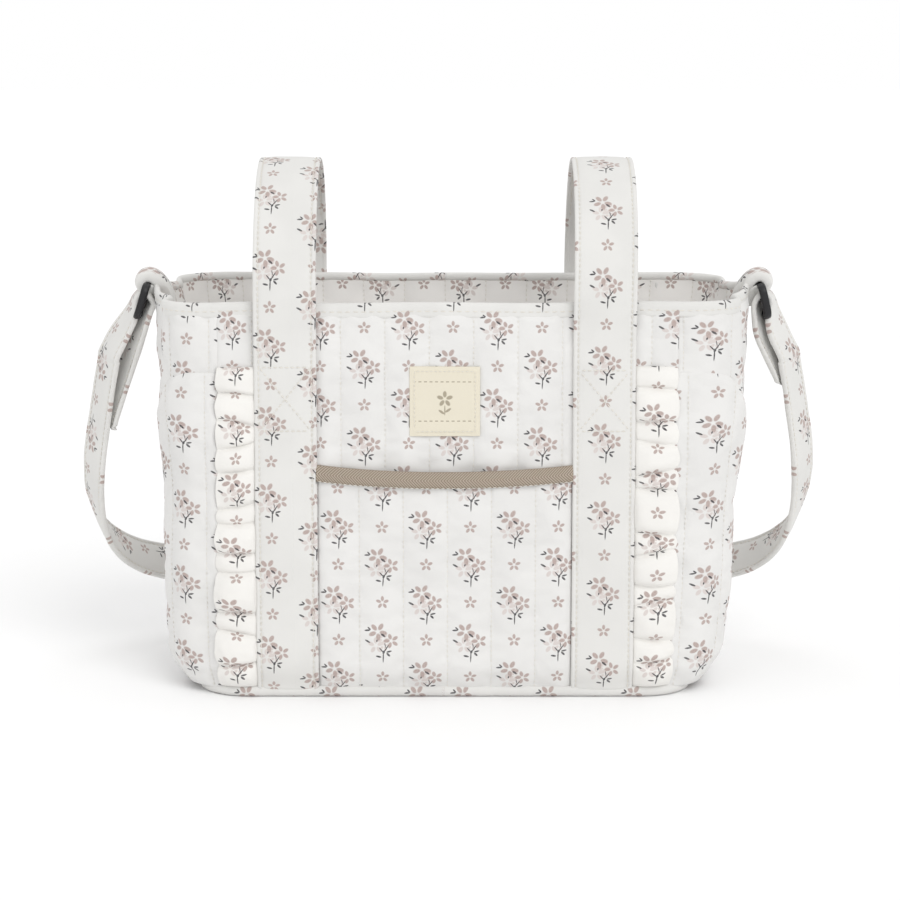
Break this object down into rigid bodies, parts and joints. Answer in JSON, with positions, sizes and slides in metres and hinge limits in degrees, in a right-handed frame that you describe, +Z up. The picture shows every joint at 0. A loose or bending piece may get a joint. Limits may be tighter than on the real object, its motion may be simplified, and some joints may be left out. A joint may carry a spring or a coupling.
{
  "type": "diaper bag",
  "caption": "Soft quilted open-top nappy tote with arched carrying handles, an adjustable shoulder strap, a taped front slip pocket, wrapped side pockets and gathered frills.",
  "frame": {"origin": "middle of the flat base, on the surface that the bag stands on", "axes": "+Z up, the front pocket and label face -Y, +X to the right as seen from the front; the strap hangs behind, at +Y"},
  "size_m": [0.4346, 0.1843, 0.313],
  "materials": {
    "quilted_print": "matte printed cotton, quilted in upright channels, small taupe flowers on off-white",
    "lining_print": "matte printed cotton, the same small flowers",
    "band_print": "matte printed cotton over wadding, topstitched near both edges",
    "ruffle_print": "thin gathered printed cotton",
    "herringbone_tape": "taupe herringbone twill tape",
    "label_cloth": "cream cotton patch with taupe stitching",
    "black_plastic": "black moulded plastic, softly glossy",
    "snap_metal": "plated magnetic snap",
    "stiff_board": "stiff plastic board, hidden"
  },
  "bodies": {
    "bag": {"back_panel": "quilted_print", "base_board": "stiff_board", "base_panel": "quilted_print", "base_piping": "quilted_print", "front_label": "label_cloth", "front_panel": "quilted_print", "front_pocket": "quilted_print", "left_back_band": "band_print", "left_front_band": "band_print", "left_gusset": "quilted_print", "left_ruffle": "ruffle_print", "left_side_pocket": "quilted_print", "lining": "lining_print", "pocket_trim": "herringbone_tape", "right_back_band": "band_print", "right_front_band": "band_print", "right_gusset": "quilted_print", "right_ruffle": "ruffle_print", "right_side_pocket": "quilted_print", "rim_hem": "quilted_print", "snap_socket": "snap_metal", "snap_stud": "snap_metal"},
    "left_handle": {"left_handle_loop": "band_print"},
    "right_handle": {"right_handle_loop": "band_print"},
    "strap": {"shoulder_strap": "band_print", "left_slider": "black_plastic", "right_slider": "black_plastic", "left_strap_tab": "band_print", "right_strap_tab": "band_print"}
  },
  "joints": [
    {"name": "left_handle_swing", "type": "hinge", "parent": "bag", "child": "left_handle", "pos_m": [-0.0925, 0, 0.238], "axis": [0, 1, 0], "range_deg": [-50, 50]},
    {"name": "right_handle_swing", "type": "hinge", "parent": "bag", "child": "right_handle", "pos_m": [0.0925, 0, 0.238], "axis": [0, 1, 0], "range_deg": [-50, 50]},
    {"name": "strap_swing", "type": "hinge", "parent": "bag", "child": "strap", "pos_m": [0, 0, 0.238], "axis": [1, 0, 0], "range_deg": [0, 285]}
  ]
}
